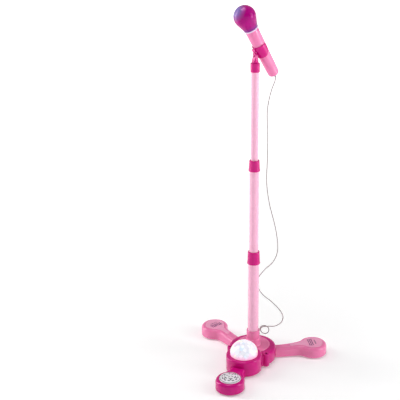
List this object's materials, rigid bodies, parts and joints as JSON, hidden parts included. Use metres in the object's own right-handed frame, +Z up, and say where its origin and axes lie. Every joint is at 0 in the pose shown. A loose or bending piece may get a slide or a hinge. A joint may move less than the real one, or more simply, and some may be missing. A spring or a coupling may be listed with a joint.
{
  "type": "toy microphone",
  "caption": "Child's toy microphone in a tilting clip on a telescopic pole, with a cord and a three-legged base that has a lamp dome and press pedals.",
  "frame": {"origin": "on the pole's axis, on the floor plane, at the centre foot's underside", "axes": "+Z up along the pole; the front leg and lamp lie along -Y; +X is to the right seen from the front"},
  "size_m": [0.3762, 0.336, 0.9728],
  "materials": {
    "magenta_plastic": "glossy injection-moulded ABS, deep magenta pink",
    "pink_plastic": "glossy injection-moulded ABS, light pink",
    "lilac_trim": "satin pale lilac plastic ring",
    "purple_plastic": "glossy translucent purple-magenta plastic with a diamond mesh relief",
    "white_plastic": "glossy white plastic",
    "clear_plastic": "clear polystyrene lens with fine facets",
    "mirror_plate": "vacuum-metallised reflector dish",
    "circuit_board": "green solder-masked board",
    "led_lens": "clear epoxy lens",
    "battery_jacket": "printed shrink sleeve",
    "steel": "plated steel",
    "black_cone": "coated paper cone",
    "black_plastic": "satin black plastic",
    "black_rubber": "matte non-slip rubber",
    "grey_rubber": "matte silicone rubber",
    "foam": "open-cell foam",
    "cord_pvc": "satin pale grey flexible vinyl"
  },
  "bodies": {
    "base": {"hub_upper_shell": "magenta_plastic", "hub_lower_shell": "magenta_plastic", "hub_trim_plate": "pink_plastic", "pole_socket": "pink_plastic", "lamp_dome": "clear_plastic", "lamp_reflector": "mirror_plate", "lamp_board": "circuit_board", "lamp_led_1": "led_lens", "lamp_led_2": "led_lens", "lamp_led_3": "led_lens", "battery_1": "battery_jacket", "battery_2": "battery_jacket", "battery_3": "battery_jacket", "battery_contact_left": "steel", "battery_contact_right": "steel", "battery_door": "magenta_plastic", "battery_door_screw": "steel", "speaker_basket": "steel", "speaker_cone": "black_cone", "main_board": "circuit_board", "mic_jack_socket": "black_plastic", "line_in_socket": "black_plastic", "centre_foot": "black_rubber", "lower_tube": "pink_plastic", "leg_shell_front": "magenta_plastic", "leg_base_front": "magenta_plastic", "foot_pad_front": "black_rubber", "leg_coupler_front": "black_plastic", "return_dome_front": "grey_rubber", "leg_shell_right": "pink_plastic", "leg_base_right": "pink_plastic", "foot_pad_right": "black_rubber", "leg_coupler_right": "black_plastic", "return_dome_right": "grey_rubber", "leg_shell_left": "pink_plastic", "leg_base_left": "pink_plastic", "foot_pad_left": "black_rubber", "leg_coupler_left": "black_plastic", "return_dome_left": "grey_rubber", "mic_cord": "cord_pvc"},
    "lower_ring": {"lower_lock_ring": "magenta_plastic"},
    "middle": {"middle_tube": "pink_plastic"},
    "upper_ring": {"upper_lock_ring": "magenta_plastic"},
    "upper": {"upper_tube": "pink_plastic"},
    "adapter": {"clip_adapter": "magenta_plastic", "pivot_rivet": "steel"},
    "clip": {"mic_clip": "magenta_plastic"},
    "mic": {"mic_barrel": "pink_plastic", "mic_trim_ring": "lilac_trim", "mic_head": "purple_plastic", "mic_foam_liner": "foam", "mic_capsule": "black_plastic", "mic_tail_bush": "grey_rubber"},
    "pedal_front_body": {"pedal_front": "white_plastic"},
    "pedal_right_body": {"pedal_right": "pink_plastic"},
    "pedal_left_body": {"pedal_left": "pink_plastic"},
    "switch": {"power_switch_knob": "white_plastic"},
    "plug": {"mic_plug": "black_plastic"}
  },
  "joints": [
    {"name": "lower_ring_twist", "type": "hinge", "parent": "base", "child": "lower_ring", "pos_m": [0, 0, 0.305], "axis": [0, 0, 1], "range_deg": [-20, 20]},
    {"name": "middle_slide", "type": "slide", "parent": "base", "child": "middle", "axis": [0, 0, 1], "range_m": [-0.15, 0], "deforming": ["mic_cord"]},
    {"name": "upper_ring_twist", "type": "hinge", "parent": "middle", "child": "upper_ring", "pos_m": [0, 0, 0.563], "axis": [0, 0, 1], "range_deg": [-20, 20]},
    {"name": "upper_slide", "type": "slide", "parent": "middle", "child": "upper", "axis": [0, 0, 1], "range_m": [-0.15, 0], "deforming": ["mic_cord"]},
    {"name": "adapter_swivel", "type": "hinge", "parent": "upper", "child": "adapter", "pos_m": [0, 0, 0.82], "axis": [0, 0, 1], "range_deg": [-80, 80], "deforming": ["mic_cord"]},
    {"name": "clip_tilt", "type": "hinge", "parent": "adapter", "child": "clip", "pos_m": [0, 0, 0.85], "axis": [0.848, -0.5299, 0], "range_deg": [-12, 50], "deforming": ["mic_cord"]},
    {"name": "mic_lift", "type": "slide", "parent": "clip", "child": "mic", "axis": [-0.2808, -0.4494, 0.848], "range_m": [0, 0.11], "deforming": ["mic_cord"]},
    {"name": "pedal_front_press", "type": "slide", "parent": "base", "child": "pedal_front_body", "axis": [0, 0, -1], "range_m": [0, 0.0025], "stiffness_N_per_m": 1500, "deforming": ["return_dome_front"]},
    {"name": "pedal_right_press", "type": "slide", "parent": "base", "child": "pedal_right_body", "axis": [0, 0, -1], "range_m": [0, 0.0025], "stiffness_N_per_m": 1500, "deforming": ["return_dome_right"]},
    {"name": "pedal_left_press", "type": "slide", "parent": "base", "child": "pedal_left_body", "axis": [0, 0, -1], "range_m": [0, 0.0025], "stiffness_N_per_m": 1500, "deforming": ["return_dome_left"]},
    {"name": "power_switch", "type": "slide", "parent": "base", "child": "switch", "axis": [0.9703, -0.2419, 0], "range_m": [-0.003, 0]},
    {"name": "plug_pull", "type": "slide", "parent": "base", "child": "plug", "axis": [-0.1392, 0.9903, 0], "range_m": [0, 0.015], "deforming": ["mic_cord"]}
  ]
}
